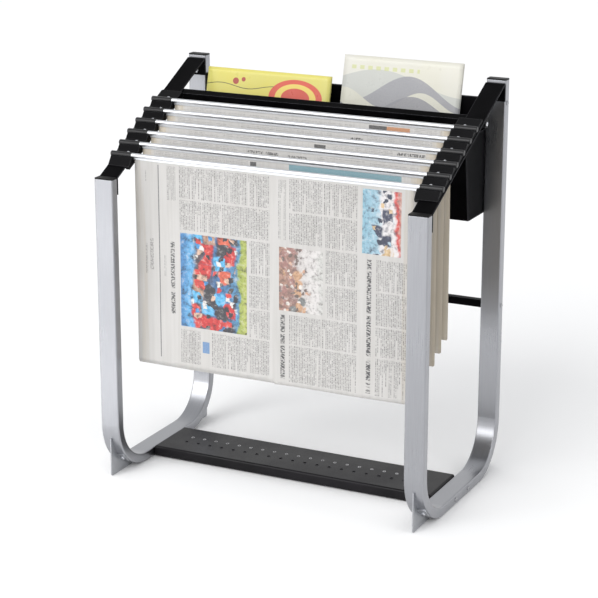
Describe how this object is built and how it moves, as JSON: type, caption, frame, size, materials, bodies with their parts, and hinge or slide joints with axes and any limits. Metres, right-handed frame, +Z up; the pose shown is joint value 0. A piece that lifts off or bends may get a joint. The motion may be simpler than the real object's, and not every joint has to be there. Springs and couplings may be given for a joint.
{
  "type": "periodical display rack",
  "caption": "Free-standing rack of two bent tube frames with sloping notched combs that carry lift-off newspaper hangers, a rear magazine pocket and a perforated bottom shelf.",
  "frame": {"origin": "middle of the footprint, on the floor", "axes": "+X to the right along the hangers, +Y to the back, +Z up"},
  "size_m": [0.6448, 0.365, 0.7537],
  "materials": {
    "tube_aluminium": "satin anodised",
    "black_steel": "fine satin black powder coat",
    "comb_plastic": "moulded satin black",
    "cap_plastic": "moulded black",
    "foot_plate_metal": "satin anodised plate",
    "screw_steel": "bright zinc",
    "hanger_aluminium": "bright anodised",
    "rod_steel": "bright drawn",
    "grip_plastic": "semi gloss black",
    "newsprint": "uncoated newsprint",
    "magazine_cream": "coated cover",
    "magazine_yellow": "coated cover"
  },
  "bodies": {
    "rack": {"left_frame": "tube_aluminium", "left_slope_strip": "black_steel", "left_hanger_comb": "comb_plastic", "left_front_end_cap": "cap_plastic", "left_front_foot_plate": "foot_plate_metal", "left_rear_end_cap": "cap_plastic", "left_rear_foot_plate": "foot_plate_metal", "right_frame": "tube_aluminium", "right_slope_strip": "black_steel", "right_hanger_comb": "comb_plastic", "right_front_end_cap": "cap_plastic", "right_front_foot_plate": "foot_plate_metal", "right_rear_end_cap": "cap_plastic", "right_rear_foot_plate": "foot_plate_metal", "pocket_back_panel": "black_steel", "pocket_front_panel": "black_steel", "pocket_bottom_panel": "black_steel", "pocket_left_side": "black_steel", "pocket_right_side": "black_steel", "pocket_rim_rail": "black_steel", "rear_cross_bar": "black_steel", "bottom_shelf": "black_steel", "short_screws": "screw_steel", "long_screws": "screw_steel", "comb_screws": "screw_steel"},
    "hanger_1": {"hanger_tube_1": "hanger_aluminium", "left_grip_1": "grip_plastic", "newspaper_1": "newsprint"},
    "rod_1": {"hanger_rod_1": "rod_steel", "right_grip_1": "grip_plastic"},
    "hanger_2": {"hanger_tube_2": "hanger_aluminium", "left_grip_2": "grip_plastic", "newspaper_2": "newsprint"},
    "rod_2": {"hanger_rod_2": "rod_steel", "right_grip_2": "grip_plastic"},
    "hanger_3": {"hanger_tube_3": "hanger_aluminium", "left_grip_3": "grip_plastic", "newspaper_3": "newsprint"},
    "rod_3": {"hanger_rod_3": "rod_steel", "right_grip_3": "grip_plastic"},
    "hanger_4": {"hanger_tube_4": "hanger_aluminium", "left_grip_4": "grip_plastic", "newspaper_4": "newsprint"},
    "rod_4": {"hanger_rod_4": "rod_steel", "right_grip_4": "grip_plastic"},
    "hanger_5": {"hanger_tube_5": "hanger_aluminium", "left_grip_5": "grip_plastic", "newspaper_5": "newsprint"},
    "rod_5": {"hanger_rod_5": "rod_steel", "right_grip_5": "grip_plastic"},
    "hanger_6": {"hanger_tube_6": "hanger_aluminium", "left_grip_6": "grip_plastic", "newspaper_6": "newsprint"},
    "rod_6": {"hanger_rod_6": "rod_steel", "right_grip_6": "grip_plastic"},
    "magazine_left_body": {"magazine_left": "magazine_yellow"},
    "magazine_right_body": {"magazine_right": "magazine_cream"}
  },
  "joints": [
    {"name": "hanger_1_lift", "type": "slide", "parent": "rack", "child": "hanger_1", "axis": [0, 0, 1], "range_m": [0, 0.45]},
    {"name": "rod_1_pull", "type": "slide", "parent": "hanger_1", "child": "rod_1", "axis": [1, 0, 0], "range_m": [0, 0.58]},
    {"name": "hanger_2_lift", "type": "slide", "parent": "rack", "child": "hanger_2", "axis": [0, 0, 1], "range_m": [0, 0.45]},
    {"name": "rod_2_pull", "type": "slide", "parent": "hanger_2", "child": "rod_2", "axis": [1, 0, 0], "range_m": [0, 0.58]},
    {"name": "hanger_3_lift", "type": "slide", "parent": "rack", "child": "hanger_3", "axis": [0, 0, 1], "range_m": [0, 0.45]},
    {"name": "rod_3_pull", "type": "slide", "parent": "hanger_3", "child": "rod_3", "axis": [1, 0, 0], "range_m": [0, 0.58]},
    {"name": "hanger_4_lift", "type": "slide", "parent": "rack", "child": "hanger_4", "axis": [0, 0, 1], "range_m": [0, 0.45]},
    {"name": "rod_4_pull", "type": "slide", "parent": "hanger_4", "child": "rod_4", "axis": [1, 0, 0], "range_m": [0, 0.58]},
    {"name": "hanger_5_lift", "type": "slide", "parent": "rack", "child": "hanger_5", "axis": [0, 0, 1], "range_m": [0, 0.45]},
    {"name": "rod_5_pull", "type": "slide", "parent": "hanger_5", "child": "rod_5", "axis": [1, 0, 0], "range_m": [0, 0.58]},
    {"name": "hanger_6_lift", "type": "slide", "parent": "rack", "child": "hanger_6", "axis": [0, 0, 1], "range_m": [0, 0.45]},
    {"name": "rod_6_pull", "type": "slide", "parent": "hanger_6", "child": "rod_6", "axis": [1, 0, 0], "range_m": [0, 0.58]},
    {"name": "magazine_left_lift", "type": "slide", "parent": "rack", "child": "magazine_left_body", "axis": [0, 0.241, 0.9705], "range_m": [0, 0.3]},
    {"name": "magazine_right_lift", "type": "slide", "parent": "rack", "child": "magazine_right_body", "axis": [0, 0.241, 0.9705], "range_m": [0, 0.3]}
  ]
}
